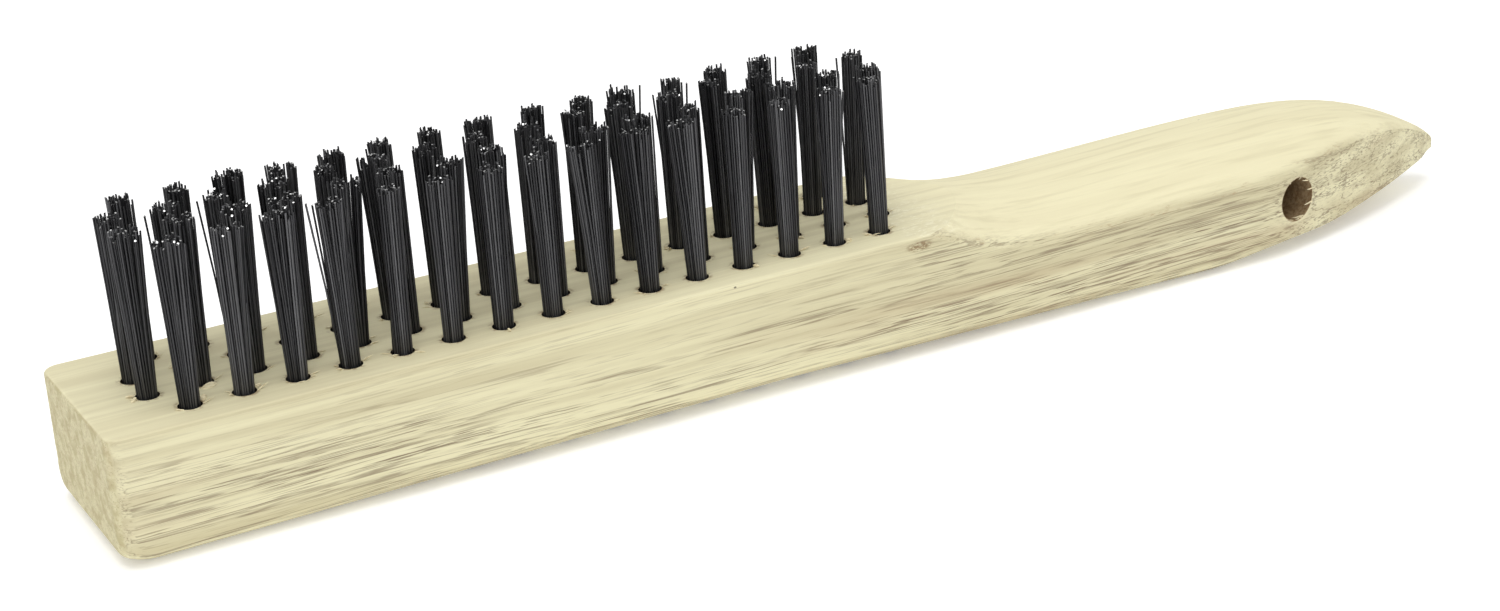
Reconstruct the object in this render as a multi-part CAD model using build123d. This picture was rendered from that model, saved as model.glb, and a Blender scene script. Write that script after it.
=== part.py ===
from build123d import *
import math
import os

# Wire scratch brush with a shoe-shaped wooden handle.
# While it is built, X runs from the toe end towards the tip of the handle, Y across, and Z up from
# the back to the wires. The finished pieces are moved so that the origin is under the middle of the
# brush, on the surface that its back rests on.

# Driving dimensions, in millimetres
overall_length = 260.0
width = 34.9
face_height = 21.4          # bristle face above the back at the toe and the heel

# Back of the block and handle, seen from the side
toe_radius = 10.3           # round-over below the toe
end_trim = 4.5              # how much of the rounded end is sawn off to leave the flat end face
bend_x = 114.0              # where the block's back meets the handle's back
bend_rise = 1.3             # how far the back stands clear of the surface there
heel_x = 201.0              # where the handle's back turns up towards the tip
bend_radius = 400.0
heel_radius = 60.0
back_edge_radius = 4.3
face_edge_radius = 0.6
toe_corner_radius = 2.6     # upright corners of the toe

# Crowned top of the handle
crown_start_x = 136.0
crown_radius = 39.5         # across the handle
scoop_rise = 9.2            # crest at the start of the scoop above the crest behind it
scoop_length = 34.0
scoop_power = 2.3
crest_drop = 1.7            # crest below the bristle face behind the scoop
hump_x = 210.8
hump_drop = 1.2             # crest below the bristle face at the hump
crown_step = 4.0            # spacing of the crown's sections
shoulder_margin = 2.5       # strip along each side where the crown turns down more sharply
shoulder_share = 0.35       # the same, as a share of the half width at the narrow tip
shoulder_ratio = 1.6        # shoulder's radius over that strip
shoulder_angle = 62.0       # how steeply the shoulder meets the side, in degrees
side_clearance = 1.0        # how far the crown's cutter reaches past the sides
cutter_clearance = 30.0     # and above the bristle face

# Tip of the handle
nose_plan_x = 208.0         # where the sides start to curve in
nose_plan_power = 1.3
tip_top_z = 8.6
tip_bottom_z = 6.6
tip_half_width = 1.2
nose_power = 3.4

# Hang hole, bored across the handle
hang_hole_x = 216.6
hang_hole_z = 9.9
hang_hole_radius = 4.0

# Tufts: two outer rows, and two inner rows half a pitch out of step with one more tuft each
tuft_pitch = 8.5
row_spacing = 7.3
first_outer_x = 14.8
outer_count = 15
inner_count = outer_count + 1
hole_radius = 1.9
hole_depth = 13.0
hole_point_angle = 118.0
tuft_height = 26.8          # to the tips of the longest wires
tuft_root_radius = 1.5
tuft_tip_radius = 2.0

# Flat wire anchors that hold each folded tuft near the bottom of its hole
anchor_length = 5.4
anchor_thickness = 0.5
anchor_height = 2.2
anchor_lift = 0.8           # underside of the anchor above the hole's shoulder

half_width = width / 2
hole_point = hole_radius / math.tan(math.radians(hole_point_angle / 2))


def smooth_step(t):
    """Rise from 0 to 1 with level ends."""
    t = min(max(t, 0.0), 1.0)
    return t * t * (3 - 2 * t)


def crest_height(x):
    """Height of the crown's crest: down the scoop, level along the grip, over the hump to the tip."""
    scoop = max(0.0, 1 - (x - crown_start_x) / scoop_length)
    grip = smooth_step((x - crown_start_x - scoop_length) / (hump_x - crown_start_x - scoop_length))
    nose = max(0.0, (x - hump_x) / (overall_length - hump_x))
    drop = crest_drop + (hump_drop - crest_drop) * grip
    fall = face_height - hump_drop - tip_top_z
    return face_height - drop + scoop_rise * scoop**scoop_power - fall * nose**nose_power


def plan_half_width(x):
    """Half the width of the nose seen from above."""
    along = (x - nose_plan_x) / (overall_length - nose_plan_x)
    inside = max(0.0, 1 - along**nose_plan_power)
    return tip_half_width + (half_width - tip_half_width) * inside ** (1 / nose_plan_power)


def side_blank():
    """Block and handle as sawn to their side outline, rounded over below, with the toe end sawn flat."""
    corners = [
        (-end_trim, face_height),
        (-end_trim, 0),
        (bend_x, bend_rise),
        (heel_x, 0),
        (overall_length, tip_bottom_z),
        (overall_length, face_height),
    ]
    radii = [0, toe_radius, bend_radius, heel_radius, 0, 0]
    outline = FilletPolyline(*corners, close=True, radius=radii)
    blank = extrude(Plane.XZ * make_face(outline), amount=half_width, both=True)
    back_faces = [face for face in blank.faces() if face.normal_at().Z < -0.5]
    back_edges = [
        edge
        for face in back_faces
        for edge in face.edges()
        if abs(abs(edge.center().Y) - half_width) < 0.01
    ]
    return fillet(back_edges, back_edge_radius)


def plan_blank():
    """Outline from above: straight sides that curve in to the tip."""
    steps = 9
    side = []
    for step in range(steps):
        angle = math.pi / 2 * step / (steps - 1)
        x = nose_plan_x + (overall_length - nose_plan_x) * math.sin(angle)
        side.append((x, plan_half_width(x)))
    upper = Spline(side, tangents=[(1, 0), (0, -1)])
    lower = mirror(upper, Plane.XZ)
    tip = Line(upper @ 1, (overall_length, -tip_half_width))
    sides = Polyline((nose_plan_x, -half_width), (0, -half_width), (0, half_width), upper @ 0)
    return extrude(make_face([upper, tip, lower, sides]), amount=face_height)


def crown_section(x):
    """Outline of what is cut away at one place along the handle: all that is above its crowned top."""
    edge = plan_half_width(max(x, nose_plan_x)) if x < overall_length else tip_half_width
    margin = min(shoulder_margin, edge * shoulder_share)
    shoulder_radius = margin * shoulder_ratio
    reach = edge - margin
    crest = crest_height(x)
    shallow = math.asin(reach / crown_radius)
    steep = math.radians(shoulder_angle)
    halfway = (shallow + steep) / 2
    centre_y = reach - shoulder_radius * math.sin(shallow)
    centre_z = crest - crown_radius + (crown_radius - shoulder_radius) * math.cos(shallow)

    def on_shoulder(angle):
        return centre_y + shoulder_radius * math.sin(angle), centre_z + shoulder_radius * math.cos(angle)

    start, middle, finish = on_shoulder(shallow), on_shoulder(halfway), on_shoulder(steep)
    run = half_width + side_clearance - finish[0]
    outside = (finish[0] + run, finish[1] - run * math.tan(steep))
    over = face_height + cutter_clearance

    def mirrored(point):
        return -point[0], point[1]

    crown = ThreePointArc(mirrored(start), (0, crest), start)
    right = ThreePointArc(start, middle, finish)
    above = (outside[0], over)
    frame = Polyline(finish, outside, above, mirrored(above), mirrored(outside), mirrored(finish))
    left = ThreePointArc(mirrored(finish), mirrored(middle), mirrored(start))
    plane = Plane(origin=(x, 0, 0), x_dir=(0, 1, 0), z_dir=(1, 0, 0))
    return plane * make_face([crown, right, frame, left])


def crown_cutter():
    """Everything above the handle's crowned top, lofted through sections spaced along the handle."""
    count = round((overall_length + crown_step - crown_start_x) / crown_step)
    return loft([crown_section(crown_start_x + index * crown_step) for index in range(count + 1)])


def wooden_block():
    """The one-piece block and handle, before its tuft holes are drilled."""
    wood = (side_blank() & plan_blank()) - crown_cutter()
    toe_corners = [
        edge
        for edge in wood.edges()
        if abs(edge.center().X) < 0.01 and abs(abs(edge.center().Y) - half_width) < 0.01
    ]
    wood = fillet(toe_corners, toe_corner_radius)
    face_edges = [
        edge
        for edge in wood.edges()
        if abs(edge.center().Z - face_height) < 0.01 and edge.center().X < crown_start_x
    ]
    wood = fillet(face_edges, face_edge_radius)
    hang_hole = Pos(hang_hole_x, 0, hang_hole_z) * Rot(90, 0, 0) * Cylinder(hang_hole_radius, 2 * width)
    return wood - hang_hole


def tuft_holes():
    """Centres of the tuft holes on the bristle face, by group name and row number."""
    rows = {1: -1.5, 2: -0.5, 3: 0.5, 4: 1.5}
    outer = [first_outer_x + index * tuft_pitch for index in range(outer_count)]
    inner = [first_outer_x + (index - 0.5) * tuft_pitch for index in range(inner_count)]
    return {
        row: [(x, step * row_spacing) for x in (outer if row in (1, 4) else inner)]
        for row, step in rows.items()
    }


def tuft():
    """One folded tuft at the origin: it fills its hole and spreads a little above the face."""
    outline = Polyline(
        (0, -hole_depth - hole_point),
        (hole_radius, -hole_depth),
        (hole_radius, 0),
        (tuft_root_radius, 0),
        (tuft_tip_radius, tuft_height),
        (0, tuft_height),
        close=True,
    )
    return revolve(Plane.XZ * make_face(outline), Axis.Z)


def hole_tool():
    """Drill for one tuft hole, as far as the bristle face."""
    outline = Polyline(
        (0, -hole_depth - hole_point),
        (hole_radius, -hole_depth),
        (hole_radius, 0),
        (0, 0),
        close=True,
    )
    return revolve(Plane.XZ * make_face(outline), Axis.Z)


def anchor():
    """The flat wire anchor that a tuft is folded over, its ends driven into the wood beside the hole."""
    middle = anchor_lift + anchor_height / 2 - hole_depth
    return Pos(0, 0, middle) * Box(anchor_length, anchor_thickness, anchor_height)


def place(shape, x, y):
    """A copy of a tuft-hole shape at one hole."""
    return Pos(x, y, face_height) * shape


def resting_level(wood):
    """Height of the lowest point of the back, found on the curve along its middle."""
    middle = wood & Plane.XZ
    return min(edge.position_at(step / 40).Z for edge in middle.edges() for step in range(41))


def save(name, solids):
    """Write one sub-part in the finished frame."""
    compound = Compound(children=[Pos(-overall_length / 2, 0, -rest_level) * solid for solid in solids])
    export_step(compound, f"parts/{name}.step")
    print(f"{name}: {len(solids)} solid(s), {compound.volume:.0f} mm3")


os.makedirs("parts", exist_ok=True)
rows = tuft_holes()
one_tuft = tuft() - anchor()
one_tool = hole_tool() + anchor()
tools = [place(one_tool, x, y) for row in rows.values() for x, y in row]
wood = wooden_block()
rest_level = resting_level(wood)
save("wood_block", [wood - tools])
for index in range(outer_count):
    pair = [place(one_tuft, *rows[row][index]) for row in (1, 4)]
    save(f"outer_tufts_{index + 1:02d}", pair)
for index in range(inner_count):
    pair = [place(one_tuft, *rows[row][index]) for row in (2, 3)]
    save(f"inner_tufts_{index + 1:02d}", pair)
for number, row in rows.items():
    save(f"anchors_row_{number}", [place(anchor(), x, y) for x, y in row])
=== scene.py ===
"""Looks of a wire scratch brush with a shoe-shaped wooden handle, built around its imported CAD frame."""

import logging
import math
import random
from dataclasses import dataclass
from enum import Enum
from typing import Iterable

import bmesh
import bpy
from mathutils import Matrix, Vector


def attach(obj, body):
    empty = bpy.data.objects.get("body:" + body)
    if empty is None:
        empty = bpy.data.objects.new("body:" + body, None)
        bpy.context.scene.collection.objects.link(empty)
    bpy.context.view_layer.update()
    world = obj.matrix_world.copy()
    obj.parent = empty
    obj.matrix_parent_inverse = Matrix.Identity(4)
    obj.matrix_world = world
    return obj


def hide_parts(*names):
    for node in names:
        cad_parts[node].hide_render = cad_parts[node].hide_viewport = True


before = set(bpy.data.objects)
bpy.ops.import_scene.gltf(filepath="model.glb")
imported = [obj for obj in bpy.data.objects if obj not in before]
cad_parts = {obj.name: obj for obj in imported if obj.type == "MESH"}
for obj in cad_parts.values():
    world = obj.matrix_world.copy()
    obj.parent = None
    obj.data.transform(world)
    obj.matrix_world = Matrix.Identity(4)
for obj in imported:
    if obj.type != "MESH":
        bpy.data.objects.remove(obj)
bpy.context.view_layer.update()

log = logging.getLogger("scratch_brush")

MM = 0.001
BODY = "root"

Colour = tuple[float, float, float]
Socket = bpy.types.NodeSocket


class Row(Enum):
    """The four rows of tufts, by their place across the brush in row spacings."""

    FIRST = -1.5
    SECOND = -0.5
    THIRD = 0.5
    FOURTH = 1.5


class Group(Enum):
    """Which pair of rows a wire piece stands in."""

    OUTER = "outer"
    INNER = "inner"


class Side(Enum):
    """The two ends of a folded wire, either side of its anchor."""

    NEAR = -1
    FAR = 1


# ---------------------------------------------------------------------------------------------------
# Node graphs
# ---------------------------------------------------------------------------------------------------


class Graph:
    """Node tree of one material, with short methods for the sums that the finishes need."""

    def __init__(self, name: str) -> None:
        """Start an empty material with a shader and its output.

        Args:
            name: Name of the new material.
        """
        self.material = bpy.data.materials.new(name)
        self.material.use_nodes = True
        self.tree = self.material.node_tree
        self.tree.nodes.clear()
        self.shader = self.tree.nodes.new("ShaderNodeBsdfPrincipled")
        output = self.tree.nodes.new("ShaderNodeOutputMaterial")
        self.tree.links.new(self.shader.outputs["BSDF"], output.inputs["Surface"])

    def feed(self, socket: Socket, value: object) -> None:
        """Link a socket to another, or set its value.

        Args:
            socket: Input to fill.
            value: Output socket, number or tuple.
        """
        if isinstance(value, bpy.types.NodeSocket):
            self.tree.links.new(value, socket)
        else:
            socket.default_value = value

    def coordinate(self, output: str = "Object") -> Socket:
        """One output of a Texture Coordinate node.

        Args:
            output: Object or Normal.

        Returns:
            The vector socket.
        """
        return self.tree.nodes.new("ShaderNodeTexCoord").outputs[output]

    def scaled(self, vector: Socket, scale: Colour) -> Socket:
        """A vector stretched along its axes.

        Args:
            vector: Vector to scale.
            scale: Factor along each axis.

        Returns:
            The scaled vector.
        """
        node = self.tree.nodes.new("ShaderNodeMapping")
        self.feed(node.inputs["Vector"], vector)
        node.inputs["Scale"].default_value = scale
        return node.outputs["Vector"]

    def split(self, vector: Socket) -> tuple[Socket, Socket, Socket]:
        """The three parts of a vector.

        Args:
            vector: Vector to take apart.

        Returns:
            Its X, Y and Z sockets.
        """
        node = self.tree.nodes.new("ShaderNodeSeparateXYZ")
        self.feed(node.inputs["Vector"], vector)
        return node.outputs["X"], node.outputs["Y"], node.outputs["Z"]

    def joined(self, x: object, y: object, z: object) -> Socket:
        """A vector made of three parts.

        Args:
            x: Socket or number along X.
            y: Socket or number along Y.
            z: Socket or number along Z.

        Returns:
            The vector socket.
        """
        node = self.tree.nodes.new("ShaderNodeCombineXYZ")
        for name, value in zip("XYZ", (x, y, z)):
            self.feed(node.inputs[name], value)
        return node.outputs["Vector"]

    def sum(self, operation: str, first: object, second: object = 0.0, third: object = 0.0) -> Socket:
        """One Math node.

        Args:
            operation: Name of the sum, such as MULTIPLY.
            first: First socket or number.
            second: Second socket or number.
            third: Third socket or number, for the sums that take one.

        Returns:
            The result.
        """
        node = self.tree.nodes.new("ShaderNodeMath")
        node.operation = operation
        for socket, value in zip(node.inputs, (first, second, third)):
            self.feed(socket, value)
        return node.outputs["Value"]

    def times(self, *values: object) -> Socket:
        """The product of several sockets or numbers.

        Args:
            values: What is multiplied, in order.

        Returns:
            The product.
        """
        result = values[0]
        for value in values[1:]:
            result = self.sum("MULTIPLY", result, value)
        return result

    def most(self, *values: object) -> Socket:
        """The greatest of several sockets or numbers.

        Args:
            values: What is compared.

        Returns:
            The greatest.
        """
        result = values[0]
        for value in values[1:]:
            result = self.sum("MAXIMUM", result, value)
        return result

    def ease(self, value: Socket, start: float, stop: float, low: float = 0.0, high: float = 1.0) -> Socket:
        """A smooth step between two levels.

        Args:
            value: Socket that moves through the step.
            start: Value at which the step starts.
            stop: Value at which it ends.
            low: Level before the step.
            high: Level after it.

        Returns:
            The level.
        """
        node = self.tree.nodes.new("ShaderNodeMapRange")
        node.interpolation_type = "SMOOTHSTEP"
        for socket, item in zip(node.inputs, (value, start, stop, low, high)):
            self.feed(socket, item)
        return node.outputs["Result"]

    def noise(self, vector: Socket, scale: Colour, detail: float = 2.0, rough: float = 0.5) -> Socket:
        """Cloudy noise between 0 and 1.

        Args:
            vector: Place on the piece, in millimetres.
            scale: Clouds per millimetre along each axis.
            detail: Finer layers on top of the first.
            rough: Strength of the finer layers.

        Returns:
            The noise value.
        """
        node = self.tree.nodes.new("ShaderNodeTexNoise")
        self.feed(node.inputs["Vector"], self.scaled(vector, scale))
        node.inputs["Scale"].default_value = 1.0
        node.inputs["Detail"].default_value = detail
        node.inputs["Roughness"].default_value = rough
        return node.outputs["Fac"]

    def specks(self, vector: Socket, scale: Colour, size: float) -> Socket:
        """Scattered round specks.

        Args:
            vector: Place on the piece, in millimetres.
            scale: Cells per millimetre along each axis.
            size: Size of a speck, as a share of its cell.

        Returns:
            1 inside a speck and 0 outside.
        """
        node = self.tree.nodes.new("ShaderNodeTexVoronoi")
        self.feed(node.inputs["Vector"], self.scaled(vector, scale))
        node.inputs["Scale"].default_value = 1.0
        return self.ease(node.outputs["Distance"], size * 0.6, size, 1.0, 0.0)

    def lines(self, vector: Socket, scale: Colour, thickness: float, detail: float = 2.0) -> Socket:
        """Thin wandering lines, where stretched noise passes through its middle value.

        Args:
            vector: Place on the piece, in millimetres.
            scale: Clouds per millimetre along each axis.
            thickness: How far from the middle value a line reaches.
            detail: Finer layers of the noise.

        Returns:
            1 on a line and 0 off it.
        """
        away = self.sum("ABSOLUTE", self.sum("SUBTRACT", self.noise(vector, scale, detail), 0.5))
        return self.ease(away, 0.0, thickness, 1.0, 0.0)

    def blend(self, amount: object, first: object, second: object, mode: str = "MIX") -> Socket:
        """A mix of two colours.

        Args:
            amount: Share of the second colour.
            first: First colour, as a socket or a tuple.
            second: Second colour, as a socket or a tuple.
            mode: Blend type.

        Returns:
            The mixed colour.
        """
        node = self.tree.nodes.new("ShaderNodeMix")
        node.data_type = "RGBA"
        node.blend_type = mode
        factor, colours = node.inputs[0], (node.inputs[6], node.inputs[7])
        self.feed(factor, amount)
        for socket, colour in zip(colours, (first, second)):
            self.feed(socket, (*colour, 1.0) if isinstance(colour, tuple) else colour)
        return node.outputs[2]

    def bump(self, height: Socket, depth: float, strength: float = 1.0) -> None:
        """Give the shader's surface a relief.

        Args:
            height: Height between 0 and 1.
            depth: Height of the relief, in metres.
            strength: Share of it that shows.
        """
        node = self.tree.nodes.new("ShaderNodeBump")
        node.inputs["Strength"].default_value = strength
        node.inputs["Distance"].default_value = depth
        self.feed(node.inputs["Height"], height)
        self.feed(self.shader.inputs["Normal"], node.outputs["Normal"])


# ---------------------------------------------------------------------------------------------------
# Finishes
# ---------------------------------------------------------------------------------------------------


@dataclass(frozen=True)
class Layout:
    """Sizes that the brush's parts share, in millimetres, in the CAD's frame."""

    length: float = 260.0
    width: float = 34.9
    face: float = 21.35
    pitch: float = 8.5
    row_spacing: float = 7.3
    first_outer: float = 14.8
    outer_count: int = 15
    hole_radius: float = 1.9
    crown_start: float = 6.0
    hang_x: float = 86.6
    hang_z: float = 9.85
    hang_radius: float = 4.0

    def tuft_x(self, group: Group, index: int) -> float:
        """Place along the brush of one tuft.

        Args:
            group: Pair of rows that the tuft stands in.
            index: Number of the tuft from the toe, counted from 0.

        Returns:
            Its X, in millimetres.
        """
        shift = 0.0 if group is Group.OUTER else -0.5
        return self.first_outer + (index + shift) * self.pitch - self.length / 2

    def count(self, group: Group) -> int:
        """Tufts in each row of a pair of rows."""
        return self.outer_count if group is Group.OUTER else self.outer_count + 1

    def rows(self, group: Group) -> tuple[Row, Row]:
        """The two rows of a pair."""
        return (Row.FIRST, Row.FOURTH) if group is Group.OUTER else (Row.SECOND, Row.THIRD)

    def holes(self) -> list[tuple[float, float]]:
        """Centres of all the tuft holes.

        Returns:
            Places along and across the brush, in millimetres.
        """
        centres = []
        for group in Group:
            for row in self.rows(group):
                for index in range(self.count(group)):
                    centres.append((self.tuft_x(group, index), row.value * self.row_spacing))
        return centres


LAYOUT = Layout()


@dataclass(frozen=True)
class RawWood:
    """Unfinished pale hardwood, sawn on its sides and sanded on the crown, with open grain."""

    cream: Colour = (0.74, 0.695, 0.465)
    straw: Colour = (0.58, 0.525, 0.335)
    sanded: Colour = (0.775, 0.72, 0.485)
    fuzz: Colour = (0.96, 0.93, 0.74)
    pore: Colour = (0.235, 0.18, 0.115)
    torn: Colour = (0.42, 0.31, 0.18)
    end_grain: Colour = (0.44, 0.38, 0.20)
    # Painted shade: dark brown that stands in for shade in the tuft holes' rims, the hang hole's wall and
    # the notch.
    hollow_shade: Colour = (0.24, 0.155, 0.075)
    # Near-black: real dark specks in the wood, and painted shade on the tuft holes' walls.
    black_speck_and_hole_shade: Colour = (0.055, 0.042, 0.03)
    roughness: float = 0.72
    specular: float = 0.28

    def hang_hole(self, g: Graph, x: Socket, z: Socket) -> tuple[Socket, Socket]:
        """Where the hang hole's wall and its rim are.

        Args:
            g: Graph to add to.
            x: Place along the brush, in millimetres.
            z: Height, in millimetres.

        Returns:
            Masks of the wall and of the rim's lower half.
        """
        dx = g.sum("SUBTRACT", x, LAYOUT.hang_x)
        dz = g.sum("SUBTRACT", z, LAYOUT.hang_z)
        radius = g.sum("SQRT", g.sum("ADD", g.times(dx, dx), g.times(dz, dz)))
        wall = g.ease(radius, LAYOUT.hang_radius + 0.02, LAYOUT.hang_radius + 0.10, 1.0, 0.0)
        band = g.ease(radius, LAYOUT.hang_radius + 0.3, LAYOUT.hang_radius + 0.9, 1.0, 0.0)
        return wall, g.times(band, g.ease(dz, 0.5, -2.5))

    def tuft_holes(self, g: Graph, x: Socket, y: Socket, z: Socket) -> tuple[Socket, Socket]:
        """Where the tuft holes' walls and the dark rims of painted shade round them are.

        Args:
            g: Graph to add to.
            x: Place along the brush, in millimetres.
            y: Place across it.
            z: Height.

        Returns:
            Masks of the walls and of the rims.
        """
        across = g.sum("ABSOLUTE", y)
        outer = g.sum("GREATER_THAN", across, LAYOUT.row_spacing)
        row_y = g.sum("MULTIPLY_ADD", outer, LAYOUT.row_spacing, LAYOUT.row_spacing / 2)
        start = LAYOUT.tuft_x(Group.INNER, 0) - LAYOUT.pitch / 2
        step = g.sum("SUBTRACT", g.sum("SUBTRACT", x, start), g.times(outer, LAYOUT.pitch / 2))
        local = g.sum("SUBTRACT", g.sum("FLOORED_MODULO", step, LAYOUT.pitch), LAYOUT.pitch / 2)
        dy = g.sum("SUBTRACT", across, row_y)
        radius = g.sum("SQRT", g.sum("ADD", g.times(local, local), g.times(dy, dy)))
        run = g.sum("MULTIPLY_ADD", outer, -LAYOUT.pitch, LAYOUT.count(Group.INNER) * LAYOUT.pitch)
        within = g.times(g.sum("GREATER_THAN", step, 0.0), g.sum("LESS_THAN", step, run))
        inside = g.ease(radius, LAYOUT.hole_radius + 0.02, LAYOUT.hole_radius + 0.10, 1.0, 0.0)
        below = g.sum("LESS_THAN", z, LAYOUT.face - 0.03)
        near = g.ease(radius, LAYOUT.hole_radius + 0.05, LAYOUT.hole_radius + 0.9, 1.0, 0.0)
        on_face = g.sum("GREATER_THAN", z, LAYOUT.face - 0.2)
        return g.times(inside, below, within), g.times(near, on_face, within)

    def material(self) -> bpy.types.Material:
        """The wood's material.

        Returns:
            A material whose grain runs along the brush.
        """
        g = Graph("raw_hardwood")
        place = g.scaled(g.coordinate(), (1 / MM, 1 / MM, 1 / MM))
        x, y, z = g.split(place)
        facing_x, _, facing_z = g.split(g.coordinate("Normal"))

        sway = g.sum("MULTIPLY_ADD", g.noise(place, (0.008, 0.025, 0.025), 1.0), 6.0, -3.0)
        lean = g.sum("MULTIPLY_ADD", x, -0.014, sway)
        grain = g.joined(x, g.sum("MULTIPLY_ADD", sway, 0.5, y), g.sum("ADD", z, lean))

        past_start = g.ease(x, LAYOUT.crown_start - 1.5, LAYOUT.crown_start + 2.5)
        crown = g.times(past_start, g.ease(facing_z, 0.42, 0.80))
        top_face = g.times(g.ease(facing_z, 0.6, 0.9), g.sum("SUBTRACT", 1.0, crown))
        toe = g.ease(facing_x, -0.6, -0.85)

        depth = g.ease(g.sum("ADD", z, g.times(sway, 0.5)), 20.5, 9.0, 0.25, 1.0)
        open_side = g.most(depth, g.times(past_start, 0.8))
        quiet = g.most(g.times(crown, 0.74), g.times(top_face, 0.60), toe)
        open_grain = g.times(open_side, g.sum("SUBTRACT", 1.0, quiet))

        fibres = g.noise(grain, (0.055, 2.6, 2.6), 5.0, 0.62)
        bands = g.noise(grain, (0.008, 0.30, 0.30), 3.0, 0.55)
        colour = g.blend(g.ease(bands, 0.36, 0.66), self.cream, self.straw)
        colour = g.blend(g.times(g.ease(fibres, 0.48, 0.76), 0.40), colour, self.straw)

        patches = g.ease(g.noise(grain, (0.012, 0.16, 0.20), 2.0), 0.36, 0.58)
        broken = g.ease(g.noise(grain, (0.08, 0.9, 0.9), 3.0), 0.34, 0.58)
        long_lines = g.lines(grain, (0.008, 0.55, 0.62), 0.030, 3.0)
        fine_lines = g.lines(grain, (0.014, 1.3, 1.5), 0.050, 2.0)
        dashes = g.ease(g.noise(grain, (0.11, 4.2, 4.2), 2.0), 0.56, 0.68)
        pores = g.most(
            g.times(long_lines, broken, 0.80),
            g.times(fine_lines, patches, broken, 0.85),
            g.times(dashes, patches, 0.95),
            g.times(dashes, 0.35),
        )
        colour = g.blend(g.times(pores, open_grain), colour, self.pore)
        tint = g.times(g.ease(g.noise(grain, (0.010, 0.12, 0.16), 2.0), 0.50, 0.72), open_grain, 0.34)
        colour = g.blend(tint, colour, self.torn)

        colour = g.blend(g.times(crown, 0.74), colour, self.sanded)
        colour = g.blend(g.times(top_face, 0.34), colour, self.sanded)
        wisps = g.times(crown, g.ease(g.noise(grain, (0.05, 0.7, 0.7), 4.0), 0.48, 0.70), 0.42)
        colour = g.blend(wisps, colour, self.straw)

        shoulder = g.times(past_start, g.ease(facing_z, 0.02, 0.12), g.ease(facing_z, 0.80, 0.48))
        tears = g.ease(g.noise(place, (0.14, 0.5, 0.6), 4.0, 0.7), 0.50, 0.66)
        flecks = g.ease(g.noise(place, (0.8, 2.4, 2.4), 3.0, 0.7), 0.46, 0.66)
        colour = g.blend(g.times(shoulder, tears, flecks, 0.75), colour, self.torn)

        # Painted shade: a dark brown patch, broken up by noise, in the notch at the start of the crown on
        # the near side.
        notch_x = g.sum("SUBTRACT", x, LAYOUT.crown_start + 1.6)
        notch_z = g.sum("SUBTRACT", z, LAYOUT.face - 1.6)
        off = g.sum("ADD", g.times(notch_x, notch_x, 0.16), g.times(notch_z, notch_z, 1.4))
        notch = g.times(g.ease(off, 1.6, 0.2), g.ease(y, -14.5, -16.5))
        notch_shade_noise = g.ease(g.noise(place, (1.2, 3.0, 3.0), 4.0, 0.75), 0.40, 0.58)
        colour = g.blend(g.times(notch, notch_shade_noise, 0.85), colour, self.hollow_shade)

        raised = g.ease(g.noise(place, (0.7, 1.6, 1.0), 5.0, 0.75), 0.50, 0.62)
        fuzz = g.times(crown, g.ease(x, 22.0, 10.0), raised)
        colour = g.blend(g.times(fuzz, 0.45), colour, self.fuzz)

        rings = g.lines(g.joined(g.times(x, 0.0), y, z), (1.0, 0.16, 0.42), 0.05, 2.0)
        speckle = g.noise(place, (1.4, 1.6, 1.6), 5.0, 0.7)
        mottle = g.ease(g.noise(place, (0.3, 0.35, 0.35), 3.0, 0.6), 0.40, 0.64)
        cut_end = g.blend(g.sum("MULTIPLY_ADD", mottle, 0.5, 0.3), self.cream, self.end_grain)
        cut_end = g.blend(g.times(g.ease(speckle, 0.46, 0.70), 0.62), cut_end, self.end_grain)
        cut_end = g.blend(g.times(rings, 0.22), cut_end, self.torn)
        cut_end = g.blend(g.times(g.specks(place, (2.4, 2.4, 2.4), 0.24), 0.55), cut_end, self.pore)
        colour = g.blend(toe, colour, cut_end)

        pins = g.times(g.specks(place, (0.07, 0.11, 0.11), 0.022), 0.8)
        colour = g.blend(pins, colour, self.black_speck_and_hole_shade)

        wall, lip = self.hang_hole(g, x, z)
        # Painted shade: the hang hole's wall goes dark brown, broken by torn patches, standing in for the
        # shade inside the hole.
        torn_patches = g.ease(g.noise(place, (1.1, 1.1, 1.1), 4.0, 0.7), 0.35, 0.65)
        hollow_shade = g.blend(torn_patches, self.hollow_shade, self.torn)
        colour = g.blend(g.times(lip, 0.5), colour, self.sanded)
        colour = g.blend(wall, colour, hollow_shade)

        # Painted shade: the tuft holes' walls go near-black and the face round each hole takes a jagged
        # dark brown ring, standing in for the shadow round the tuft bases.
        pit, rim = self.tuft_holes(g, x, y, z)
        rim_shade_noise = g.ease(g.noise(place, (0.9, 0.9, 0.9), 3.0, 0.7), 0.42, 0.62)
        colour = g.blend(g.times(rim, rim_shade_noise, 0.75), colour, self.hollow_shade)
        colour = g.blend(pit, colour, self.black_speck_and_hole_shade)

        g.feed(g.shader.inputs["Base Color"], colour)
        g.feed(g.shader.inputs["Roughness"], self.roughness)
        g.feed(g.shader.inputs["Specular IOR Level"], self.specular)
        valleys = g.most(g.times(pores, open_grain), g.times(fibres, 0.45), g.times(fuzz, 0.5))
        g.bump(g.sum("SUBTRACT", 1.0, valleys), 0.16 * MM, 0.55)
        return g.material


@dataclass(frozen=True)
class FreshSliver:
    """Freshly broken wood: lighter than the face around it."""

    light: Colour = (0.88, 0.80, 0.55)
    shade: Colour = (0.60, 0.49, 0.28)
    roughness: float = 0.75

    def material(self) -> bpy.types.Material:
        """The slivers' material, streaked along the grain.

        Returns:
            A pale material for freshly torn wood.
        """
        g = Graph("fresh_sliver")
        place = g.scaled(g.coordinate(), (1 / MM, 1 / MM, 1 / MM))
        streak = g.noise(place, (0.6, 4.0, 4.0), 3.0, 0.6)
        g.feed(g.shader.inputs["Base Color"], g.blend(g.ease(streak, 0.4, 0.7), self.light, self.shade))
        g.feed(g.shader.inputs["Roughness"], self.roughness)
        g.bump(streak, 0.05 * MM, 0.4)
        return g.material


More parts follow.
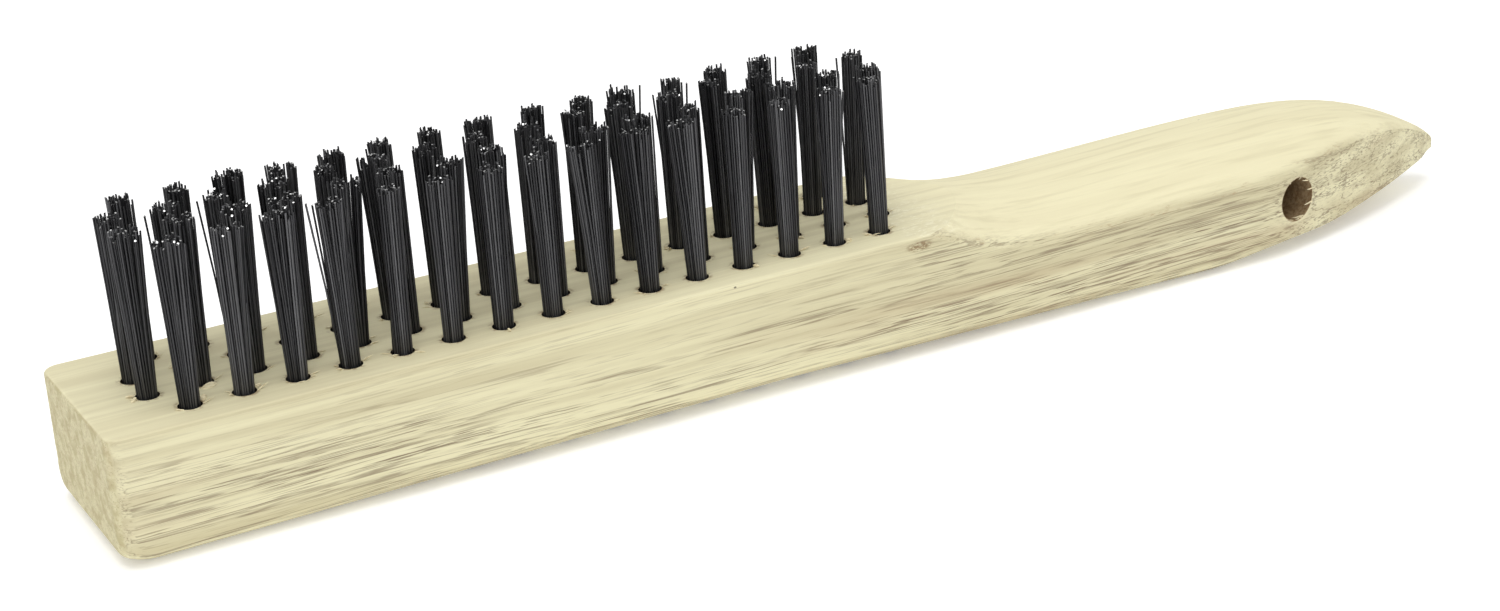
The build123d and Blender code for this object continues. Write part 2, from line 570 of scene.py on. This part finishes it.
@dataclass(frozen=True)
class TemperedWire:
    """Dark oil-tempered steel wire whose satin sheen, which differs a little from wire to wire, is painted
    in as a lighter grey.
    """

    dark: Colour = (0.020, 0.020, 0.022)
    sheen_grey: Colour = (0.125, 0.125, 0.130)
    metallic: float = 0.50
    roughness: float = 0.38
    tone_name: str = "wire_tone"

    def material(self) -> bpy.types.Material:
        """The wires' material, which reads each wire's own tone.

        Returns:
            A dark steel material with a tone to each wire.
        """
        g = Graph("tempered_wire")
        tone = g.tree.nodes.new("ShaderNodeAttribute")
        tone.attribute_name = self.tone_name
        place = g.scaled(g.coordinate(), (1 / MM, 1 / MM, 1 / MM))
        scale = g.noise(place, (1.6, 1.6, 0.35), 4.0, 0.7)
        mark = g.ease(scale, 0.35, 0.70, 0.0, 0.35)
        # Painted sheen: each wire's tone, raised further on its scale marks, mixes its dark steel towards a
        # lighter grey that stands in for the wires' satin sheen.
        amount = g.sum("ADD", g.times(tone.outputs["Fac"], 0.75), g.times(mark, tone.outputs["Fac"]))
        g.feed(g.shader.inputs["Base Color"], g.blend(amount, self.dark, self.sheen_grey))
        g.feed(g.shader.inputs["Metallic"], self.metallic)
        matt = g.ease(scale, 0.3, 0.7, self.roughness - 0.06, self.roughness + 0.14)
        g.feed(g.shader.inputs["Roughness"], matt)
        return g.material


@dataclass(frozen=True)
class ShearedEnd:
    """Bright steel where a wire was cut."""

    colour: Colour = (0.72, 0.72, 0.71)
    roughness: float = 0.30

    def material(self) -> bpy.types.Material:
        """The cut ends' material.

        Returns:
            A duller steel material for the sheared tips.
        """
        g = Graph("sheared_end")
        place = g.scaled(g.coordinate(), (1 / MM, 1 / MM, 1 / MM))
        smear = g.noise(place, (5.0, 5.0, 5.0), 2.0)
        dull = (self.colour[0] * 0.5, self.colour[1] * 0.5, self.colour[2] * 0.5)
        g.feed(g.shader.inputs["Base Color"], g.blend(g.ease(smear, 0.4, 0.7), self.colour, dull))
        g.feed(g.shader.inputs["Metallic"], 1.0)
        g.feed(g.shader.inputs["Roughness"], self.roughness)
        return g.material


@dataclass(frozen=True)
class DrawnSteel:
    """Plain drawn flat steel wire, for the anchors."""

    colour: Colour = (0.45, 0.45, 0.46)
    scratched: Colour = (0.30, 0.30, 0.31)
    roughness: float = 0.35

    def material(self) -> bpy.types.Material:
        """The anchors' material, scratched along their length.

        Returns:
            A bright drawn-steel material.
        """
        g = Graph("drawn_flat_steel")
        place = g.scaled(g.coordinate(), (1 / MM, 1 / MM, 1 / MM))
        scratch = g.noise(place, (0.4, 6.0, 6.0), 4.0, 0.6)
        base = g.blend(g.ease(scratch, 0.4, 0.7), self.colour, self.scratched)
        g.feed(g.shader.inputs["Base Color"], base)
        g.feed(g.shader.inputs["Metallic"], 1.0)
        g.feed(g.shader.inputs["Roughness"], self.roughness)
        return g.material


@dataclass(frozen=True)
class StudioWhite:
    """Plain pale floor."""

    colour: Colour = (0.93, 0.93, 0.93)
    glow: float = 0.22
    roughness: float = 0.9

    def material(self) -> bpy.types.Material:
        """The floor's material, lit a little from within so that shadows stay soft.

        Returns:
            A plain white material.
        """
        g = Graph("studio_white")
        g.feed(g.shader.inputs["Base Color"], (*self.colour, 1.0))
        g.feed(g.shader.inputs["Emission Color"], (1.0, 1.0, 1.0, 1.0))
        g.feed(g.shader.inputs["Emission Strength"], self.glow)
        g.feed(g.shader.inputs["Roughness"], self.roughness)
        return g.material


# ---------------------------------------------------------------------------------------------------
# Pieces
# ---------------------------------------------------------------------------------------------------


def finished_piece(
    name: str, bm: bmesh.types.BMesh, materials: Iterable[bpy.types.Material]
) -> bpy.types.Object:
    """Turn a bmesh into an object at the origin.

    Args:
        name: Name of the piece.
        bm: Its shape, in metres, which is freed.
        materials: Its material slots.

    Returns:
        The new object.
    """
    mesh = bpy.data.meshes.new(name)
    bm.to_mesh(mesh)
    bm.free()
    for material in materials:
        mesh.materials.append(material)
    piece = bpy.data.objects.new(name, mesh)
    bpy.context.scene.collection.objects.link(piece)
    return piece


@dataclass
class Stick:
    """A straight stick of unit radius, with a ring of edges at each whole height, to bend along a path."""

    stations: int
    sides: int = 5

    def mesh(self) -> bpy.types.Mesh:
        """Build the stick once.

        Returns:
            A mesh whose first end is at height 0 and whose last is at stations - 1.
        """
        bm = bmesh.new()
        bmesh.ops.create_circle(bm, cap_ends=True, segments=self.sides, radius=1.0)
        bmesh.ops.reverse_faces(bm, faces=bm.faces[:])
        top = bm.faces[:]
        for _ in range(self.stations - 1):
            made = bmesh.ops.extrude_face_region(bm, geom=top, use_keep_orig=len(bm.faces) == 1)["geom"]
            top = [part for part in made if isinstance(part, bmesh.types.BMFace)]
            rim = [part for part in made if isinstance(part, bmesh.types.BMVert)]
            bmesh.ops.translate(bm, verts=rim, vec=(0.0, 0.0, 1.0))
        bmesh.ops.recalc_face_normals(bm, faces=bm.faces[:])
        for face in bm.faces:
            face.smooth = abs(face.normal.z) < 0.5
        for edge in bm.edges:
            edge.smooth = all(face.smooth for face in edge.link_faces)
        mesh = bpy.data.meshes.new("stick")
        bm.to_mesh(mesh)
        bm.free()
        return mesh


def bend_stick(
    bm: bmesh.types.BMesh, stick: bpy.types.Mesh, path: list[Vector], radii: list[float], hinge: Vector
) -> tuple[list[bmesh.types.BMVert], list[bmesh.types.BMFace]]:
    """Add a stick to a bmesh and bend it along a path.

    Args:
        bm: Shape to add to.
        stick: Straight stick with a station for each point of the path.
        path: Points along the path, in metres.
        radii: The stick's radius at each point.
        hinge: Direction across the plane that the path mostly lies in.

    Returns:
        The new vertices and faces.
    """
    first_vert, first_face = len(bm.verts), len(bm.faces)
    bm.from_mesh(stick)
    bm.verts.ensure_lookup_table()
    bm.faces.ensure_lookup_table()
    verts, faces = bm.verts[first_vert:], bm.faces[first_face:]
    frames = []
    for index, point in enumerate(path):
        ahead = path[min(index + 1, len(path) - 1)]
        behind = path[max(index - 1, 0)]
        along = (ahead - behind).normalized()
        across = (hinge - along * hinge.dot(along)).normalized()
        frames.append((point, across, along.cross(across)))
    for vert in verts:
        index = round(vert.co.z)
        point, across, other = frames[index]
        vert.co = point + (across * vert.co.x + other * vert.co.y) * radii[index]
    return verts, faces


@dataclass
class Tuft:
    """One tuft: wires folded in half round a flat anchor at the bottom of a hole. Sizes in millimetres."""

    x: float
    y: float
    rng: random.Random
    wire_radius: float = 0.175
    wire_spacing: float = 0.372
    bundle_radius: float = 1.42
    fold_gap: float = 0.2
    anchor_gap: float = 0.45
    fold_depth: float = 12.0
    fold_drop: float = 0.55
    height: float = 26.05
    tallest: float = 26.65
    unevenness: float = 0.46
    spread: float = 1.30
    parting: float = 0.0
    parted_from: float = 0.5
    tip_jitter: float = 0.10
    lean: float = 0.38
    lean_to_toe: float = -0.15
    settle_depth: float = 5.5
    bow_share: float = 0.86
    stray_share: float = 0.045
    bright_share: float = 0.46
    shade_middle: float = 0.42
    shade_range: float = 0.30

    def roots(self) -> list[tuple[float, float]]:
        """Places where the wires of one half cross the face, close-packed.

        Returns:
            Offsets from the hole's centre, all on the far half.
        """
        places = []
        layer = 0
        across = self.fold_gap
        while across < self.bundle_radius:
            reach = math.sqrt(self.bundle_radius**2 - across**2)
            shift = (layer % 2) * 0.5
            steps = int(reach / self.wire_spacing) + 1
            for step in range(-steps, steps + 1):
                along = (step + shift) * self.wire_spacing
                if abs(along) <= reach:
                    places.append((along, across))
            across += self.wire_spacing * math.sqrt(0.75)
            layer += 1
        return places

    def leg(self, root: tuple[float, float], side: Side, tilt: tuple[float, float]) -> list[Vector]:
        """Path of one end of a wire, from the fold to its tip.

        Args:
            root: Where it crosses the face, for the far side.
            side: Which side of the anchor it is on.
            tilt: How far the whole tuft's tip leans along and across.

        Returns:
            Points in metres, going up.
        """
        along, across = root[0], root[1] * side.value
        held = side.value * (self.anchor_gap + (root[1] - self.fold_gap) * 0.9)
        stray = self.rng.random() < self.stray_share
        angle = self.rng.uniform(0.0, math.tau)
        reach = self.rng.uniform(0.9, 1.9) if stray else abs(self.rng.gauss(0.0, self.tip_jitter))
        fan = self.spread + self.rng.gauss(0.0, 0.02)
        parted = self.parting if along * math.copysign(1.0, self.parting) > self.parted_from else 0.0
        tip_along = along * fan + reach * math.cos(angle) + tilt[0] + parted
        tip_across = across * fan + reach * math.sin(angle) + tilt[1]
        top = min(self.tallest, self.height + self.rng.gauss(0.0, self.unevenness))
        bow = self.rng.uniform(0.42, 0.56)
        middle_along = along + (tip_along - along) * bow * self.bow_share
        middle_across = across + (tip_across - across) * bow * self.bow_share
        points = [
            (along, held, -self.fold_depth),
            (along, held * 0.5 + across * 0.5, -self.settle_depth),
            (along, across, 0.0),
            (middle_along, middle_across, top * bow),
            (tip_along, tip_across, top),
        ]
        base = Vector((self.x, self.y, LAYOUT.face))
        return [(base + Vector(point)) * MM for point in points]

    def add_to(self, bm: bmesh.types.BMesh, stick: bpy.types.Mesh, tone: bmesh.types.BMLayerItem) -> int:
        """Add every wire of the tuft.

        Args:
            bm: Shape of the piece that the tuft belongs to.
            stick: Straight stick that each wire is bent from.
            tone: Layer that takes each wire's tone.

        Returns:
            Number of wires.
        """
        tilt = (self.rng.gauss(self.lean_to_toe, self.lean), self.rng.gauss(0.0, self.lean))
        wires = self.roots()
        for root in wires:
            near = self.leg(root, Side.NEAR, tilt)
            far = self.leg(root, Side.FAR, tilt)
            bottom = (near[0] + far[0]) / 2
            bottom.z -= (self.fold_drop + 0.4 * root[1]) * MM
            corner_near = near[0] * 0.72 + bottom * 0.28
            corner_far = far[0] * 0.72 + bottom * 0.28
            corner_near.z = corner_far.z = near[0].z * 0.25 + bottom.z * 0.75
            path = near[::-1] + [corner_near, bottom, corner_far] + far
            radii = [self.wire_radius * MM] * len(path)
            verts, faces = bend_stick(bm, stick, path, radii, Vector((1.0, 0.0, 0.0)))
            # Each wire's tone sets how far its colour goes towards the painted sheen grey.
            shade = min(1.0, max(0.0, self.rng.gauss(self.shade_middle, self.shade_range)))
            for vert in verts:
                vert[tone] = shade
            self.cut_ends(verts, faces)
        return len(wires)

    def cut_ends(self, verts: list[bmesh.types.BMVert], faces: list[bmesh.types.BMFace]) -> None:
        """Shear both tips of a wire at a slight slant and brighten some of them.

        Args:
            verts: The wire's vertices; not used.
            faces: Its faces.
        """
        for face in faces:
            if face.smooth:
                continue
            centre = face.calc_center_median()
            angle = self.rng.uniform(0.0, math.tau)
            slope = self.rng.uniform(0.1, 0.7)
            for vert in face.verts:
                away = vert.co - centre
                vert.co.z = centre.z + slope * (away.x * math.cos(angle) + away.y * math.sin(angle))
            face.normal_update()
            if self.rng.random() < self.bright_share:
                face.material_index = 1


@dataclass
class WireField:
    """All the tufts, one piece for each pair across the brush."""

    seed: int = 4107
    stations: int = 13
    parted_share: float = 0.35
    parting_range: tuple[float, float] = (0.5, 1.3)
    spread_range: tuple[float, float] = (1.14, 1.34)
    toe_flare: float = 0.16
    toe_flare_step: float = 0.04
    height_range: float = 0.18

    def build(self, finishes: list[bpy.types.Material]) -> list[bpy.types.Object]:
        """Build every pair of tufts.

        Args:
            finishes: Materials of the wire and of its cut ends.

        Returns:
            The pieces.
        """
        stick = Stick(self.stations).mesh()
        made = []
        for group in Group:
            for index in range(LAYOUT.count(group)):
                made.append(self.pair(group, index, stick, finishes))
        bpy.data.meshes.remove(stick)
        return made

    def pair(
        self, group: Group, index: int, stick: bpy.types.Mesh, finishes: list[bpy.types.Material]
    ) -> bpy.types.Object:
        """Build the two tufts that one CAD node stands for.

        Args:
            group: Pair of rows that they stand in.
            index: Number from the toe, counted from 0.
            stick: Straight stick that each wire is bent from.
            finishes: Materials of the wire and of its cut ends.

        Returns:
            The piece.
        """
        bm = bmesh.new()
        tone = bm.verts.layers.float.new(TemperedWire().tone_name)
        wires = 0
        for row in LAYOUT.rows(group):
            rng = random.Random(f"{self.seed} {row.name} {index}")
            tuft = Tuft(LAYOUT.tuft_x(group, index), row.value * LAYOUT.row_spacing, rng)
            flare = max(0.0, self.toe_flare - self.toe_flare_step * index)
            tuft.spread = rng.uniform(*self.spread_range) + flare
            if rng.random() < self.parted_share:
                tuft.parting = rng.choice((-1.0, -1.0, 1.0)) * rng.uniform(*self.parting_range)
            tuft.height += rng.gauss(0.0, self.height_range)
            wires += tuft.add_to(bm, stick, tone)
        label = f"{group.value}_wires_{index + 1:02d}"
        piece = finished_piece(label, bm, finishes)
        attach(piece, BODY)
        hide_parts(f"{group.value}_tufts_{index + 1:02d}")
        log.info("%s: %d folded wires, %d faces", label, wires, len(piece.data.polygons))
        return piece


@dataclass
class Slivers:
    """Loose fibres and chips left by the drill and the sander. Sizes in millimetres."""

    seed: int = 911
    stations: int = 4
    per_hole: int = 5
    stray_chips: int = 16
    hang_fibres: int = 26
    hang_rim: float = 16.05
    thickness: float = 0.12
    taper: tuple[float, ...] = (0.9, 1.0, 0.7, 0.15)
    chip_thickness: float = 0.22

    def fibre(
        self,
        bm: bmesh.types.BMesh,
        stick: bpy.types.Mesh,
        rng: random.Random,
        foot: Vector,
        heading: float,
        rise: float,
    ) -> None:
        """Add one curled fibre that tapers to a point.

        Args:
            bm: Shape to add to.
            stick: Straight stick to bend.
            rng: Source of its own differences.
            foot: Where it leaves the wood.
            heading: Direction that it runs, as an angle from X.
            rise: How steeply it stands up.
        """
        length = rng.uniform(0.7, 2.0)
        curl = rng.uniform(-0.8, 0.8)
        radius = self.thickness * rng.uniform(0.6, 1.3)
        path, point = [], foot.copy()
        for station in range(self.stations):
            path.append(point * MM)
            turn = heading + curl * station / self.stations
            step = length / (self.stations - 1)
            climb = rise * (1.0 - station / self.stations)
            point = point + Vector((math.cos(turn), math.sin(turn), climb)) * step
        radii = [radius * MM * share for share in self.taper]
        bend_stick(bm, stick, path, radii, Vector((0.2, 0.1, 1.0)))

    def around_holes(self, bm: bmesh.types.BMesh, stick: bpy.types.Mesh) -> int:
        """Add the fibres that lift at the rims of the tuft holes.

        Args:
            bm: Shape to add to.
            stick: Straight stick to bend.

        Returns:
            Number of fibres.
        """
        rng = random.Random(self.seed)
        count = 0
        for x, y in LAYOUT.holes():
            for _ in range(rng.randint(0, self.per_hole)):
                along = rng.choice((0.0, math.pi)) + rng.gauss(0.0, 0.45)
                out = LAYOUT.hole_radius + rng.uniform(-0.02, 0.15)
                foot = Vector((x + out * math.cos(along), y + out * math.sin(along), LAYOUT.face - 0.03))
                self.fibre(bm, stick, rng, foot, along + rng.gauss(0.0, 0.9), rng.uniform(0.15, 0.6))
                count += 1
        return count

    def around_hang_hole(self, bm: bmesh.types.BMesh, stick: bpy.types.Mesh) -> int:
        """Add the fuzz at the rim of the hang hole, on both sides.

        Args:
            bm: Shape to add to.
            stick: Straight stick to bend.

        Returns:
            Number of fibres.
        """
        rng = random.Random(self.seed + 1)
        for number in range(self.hang_fibres):
            side = -1.0 if number % 2 else 1.0
            angle = rng.uniform(-0.9, 0.6) * math.pi
            inside = LAYOUT.hang_radius - 0.05
            across = side * (self.hang_rim - 0.35 * math.cos(angle))
            along, up = inside * math.cos(angle), inside * math.sin(angle)
            foot = Vector((LAYOUT.hang_x + along, across, LAYOUT.hang_z + up))
            self.fibre(bm, stick, rng, foot, math.pi + angle * 0.3, rng.uniform(-0.4, 0.4))
        return self.hang_fibres

    def chip(
        self, bm: bmesh.types.BMesh, x: float, y: float, turn: float, length: float, width: float
    ) -> None:
        """Add one flat oval chip that lies against the face.

        Args:
            bm: Shape to add to.
            x: Place along the brush.
            y: Place across it.
            turn: Angle of its length from X.
            length: Its length.
            width: Its width.
        """
        thick = self.chip_thickness * MM
        made = bmesh.ops.create_circle(bm, cap_ends=True, segments=14, radius=0.5 * MM)["verts"]
        face = made[0].link_faces[0]
        top = bmesh.ops.extrude_face_region(bm, geom=[face], use_keep_orig=True)["geom"]
        raised = [part for part in top if isinstance(part, bmesh.types.BMVert)]
        bmesh.ops.translate(bm, verts=raised, vec=(0.0, 0.0, thick))
        bmesh.ops.scale(bm, verts=raised, vec=(0.78, 0.7, 1.0))
        lid = [part for part in top if isinstance(part, bmesh.types.BMFace)]
        bmesh.ops.inset_region(bm, faces=lid, thickness=0.08 * MM, depth=-0.06 * MM)
        whole = list({vert for part in made + raised for face in part.link_faces for vert in face.verts})
        tilt = Matrix.Rotation(0.16, 4, "X") @ Matrix.Rotation(-0.08, 4, "Y")
        move = Matrix.Translation(Vector((x, y, LAYOUT.face + 0.12)) * MM)
        shape = move @ Matrix.Rotation(turn, 4, "Z") @ tilt @ Matrix.Diagonal((length, width, 1.0, 1.0))
        bmesh.ops.transform(bm, matrix=shape, verts=whole)

    def build(self, finish: bpy.types.Material) -> bpy.types.Object:
        """Build every fibre and chip as one piece.

        Args:
            finish: Material of freshly broken wood.

        Returns:
            The piece.
        """
        stick = Stick(self.stations, 4).mesh()
        bm = bmesh.new()
        count = self.around_holes(bm, stick) + self.around_hang_hole(bm, stick)
        second = LAYOUT.tuft_x(Group.INNER, 1)
        row_one = Row.FIRST.value * LAYOUT.row_spacing
        row_two = Row.SECOND.value * LAYOUT.row_spacing
        self.chip(bm, second + 0.4, row_two - 2.35, 0.35, 2.7, 1.5)
        self.chip(bm, LAYOUT.tuft_x(Group.OUTER, 0) + 2.5, row_one + 1.2, 1.1, 2.0, 0.9)
        self.chip(bm, LAYOUT.tuft_x(Group.INNER, 0) - 2.3, row_two - 0.8, 0.8, 1.5, 0.7)
        rng = random.Random(self.seed + 2)
        for x, y in rng.sample(LAYOUT.holes(), self.stray_chips):
            angle = rng.uniform(0.0, math.tau)
            out = LAYOUT.hole_radius + rng.uniform(0.3, 0.7)
            size = rng.uniform(0.8, 1.5)
            self.chip(bm, x + out * math.cos(angle), y + out * math.sin(angle), angle, size, size * 0.45)
        bmesh.ops.recalc_face_normals(bm, faces=bm.faces[:])
        piece = finished_piece("wood_slivers", bm, [finish])
        bpy.data.meshes.remove(stick)
        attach(piece, BODY)
        log.info("wood_slivers: %d fibres, %d faces", count, len(piece.data.polygons))
        return piece


@dataclass
class CarriedOver:
    """CAD nodes whose shape is right, which only take a better finish."""

    anchor_rows: int = 4

    def dress(self, wood: bpy.types.Material, steel: bpy.types.Material) -> None:
        """Give the block and the anchors their materials.

        Args:
            wood: Material of the block and handle.
            steel: Material of the anchors.
        """
        self.swap("wood_block", wood)
        for number in range(1, self.anchor_rows + 1):
            self.swap(f"anchors_row_{number}", steel)

    def swap(self, node: str, material: bpy.types.Material) -> None:
        """Put a material in every slot of one node.

        Args:
            node: Name of the CAD node.
            material: Material to put there.
        """
        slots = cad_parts[node].material_slots
        for slot in slots:
            slot.material = material
        log.info("%s: %s in %d slot(s)", node, material.name, len(slots))


# ---------------------------------------------------------------------------------------------------
# Studio
# ---------------------------------------------------------------------------------------------------


@dataclass(frozen=True)
class SoftLight:
    """One square area light, aimed at the middle of the brush. Sizes in metres, power in watts."""

    name: str
    place: Colour
    size: float
    power: float
    tint: Colour = (1.0, 1.0, 1.0)

    def build(self, target: Vector) -> None:
        """Add the light.

        Args:
            target: Point that it faces.
        """
        data = bpy.data.lights.new(self.name, "AREA")
        data.size = self.size
        data.energy = self.power
        data.color = self.tint
        lamp = bpy.data.objects.new(self.name, data)
        lamp.location = self.place
        lamp.rotation_euler = (target - Vector(self.place)).to_track_quat("-Z", "Y").to_euler()
        bpy.context.scene.collection.objects.link(lamp)


@dataclass
class Studio:
    """Floor, lights, surroundings and camera. Sizes in metres, angles in degrees."""

    floor_size: float = 3.0
    floor_drop: float = 0.00005
    aim_height: float = 0.02
    surroundings: float = 0.58
    camera_place: Colour = (-0.2220, -0.4025, 0.1909)
    heading: float = 27.17
    downward: float = 21.88
    roll: float = 3.69
    lens: float = 69.9
    sensor_width: float = 36.0
    lights: tuple[SoftLight, ...] = (
        SoftLight("overhead", (-0.15, -0.10, 1.05), 0.8, 7.0),
        SoftLight("front", (-0.60, -0.80, 0.55), 0.6, 1.5),
        SoftLight("handle_side", (0.9, -0.35, 0.8), 0.6, 1.2),
    )

    def build(self, white: bpy.types.Material) -> None:
        """Set up everything around the brush.

        Args:
            white: Material of the floor.
        """
        self.floor(white)
        self.surround()
        for light in self.lights:
            light.build(Vector((0.0, 0.0, self.aim_height)))
        self.camera()
        bpy.context.scene.view_settings.view_transform = "Standard"

    def floor(self, white: bpy.types.Material) -> None:
        """Add the floor under the brush.

        Args:
            white: Its material.
        """
        bm = bmesh.new()
        bmesh.ops.create_grid(bm, x_segments=1, y_segments=1, size=self.floor_size / 2)
        bmesh.ops.translate(bm, verts=bm.verts[:], vec=(0.0, 0.0, -self.floor_drop))
        finished_piece("floor", bm, [white])

    def surround(self) -> None:
        """Light the scene evenly from all round."""
        world = bpy.data.worlds.new("soft_room")
        world.use_nodes = True
        background = world.node_tree.nodes["Background"]
        background.inputs["Color"].default_value = (1.0, 1.0, 1.0, 1.0)
        background.inputs["Strength"].default_value = self.surroundings
        bpy.context.scene.world = world

    def camera(self) -> None:
        """Add the camera."""
        data = bpy.data.cameras.new("view")
        data.lens = self.lens
        data.sensor_width = self.sensor_width
        data.clip_start = 0.01
        camera = bpy.data.objects.new("view", data)
        turn = Matrix.Rotation(math.radians(-self.heading), 4, "Z")
        nod = Matrix.Rotation(math.radians(90.0 - self.downward), 4, "X")
        dip = Matrix.Rotation(math.radians(-self.roll), 4, "Z")
        camera.matrix_world = Matrix.Translation(Vector(self.camera_place)) @ turn @ nod @ dip
        bpy.context.scene.collection.objects.link(camera)
        bpy.context.scene.camera = camera


def write_sizes() -> None:
    """Bring the scene's transforms up to date."""
    bpy.context.view_layer.update()


def main() -> None:
    """Build the brush's looks and the studio round it."""
    logging.basicConfig(level=logging.INFO, format="%(message)s")
    CarriedOver().dress(RawWood().material(), DrawnSteel().material())
    WireField().build([TemperedWire().material(), ShearedEnd().material()])
    Slivers().build(FreshSliver().material())
    Studio().build(StudioWhite().material())
    write_sizes()


if __name__ == "__main__":
    main()
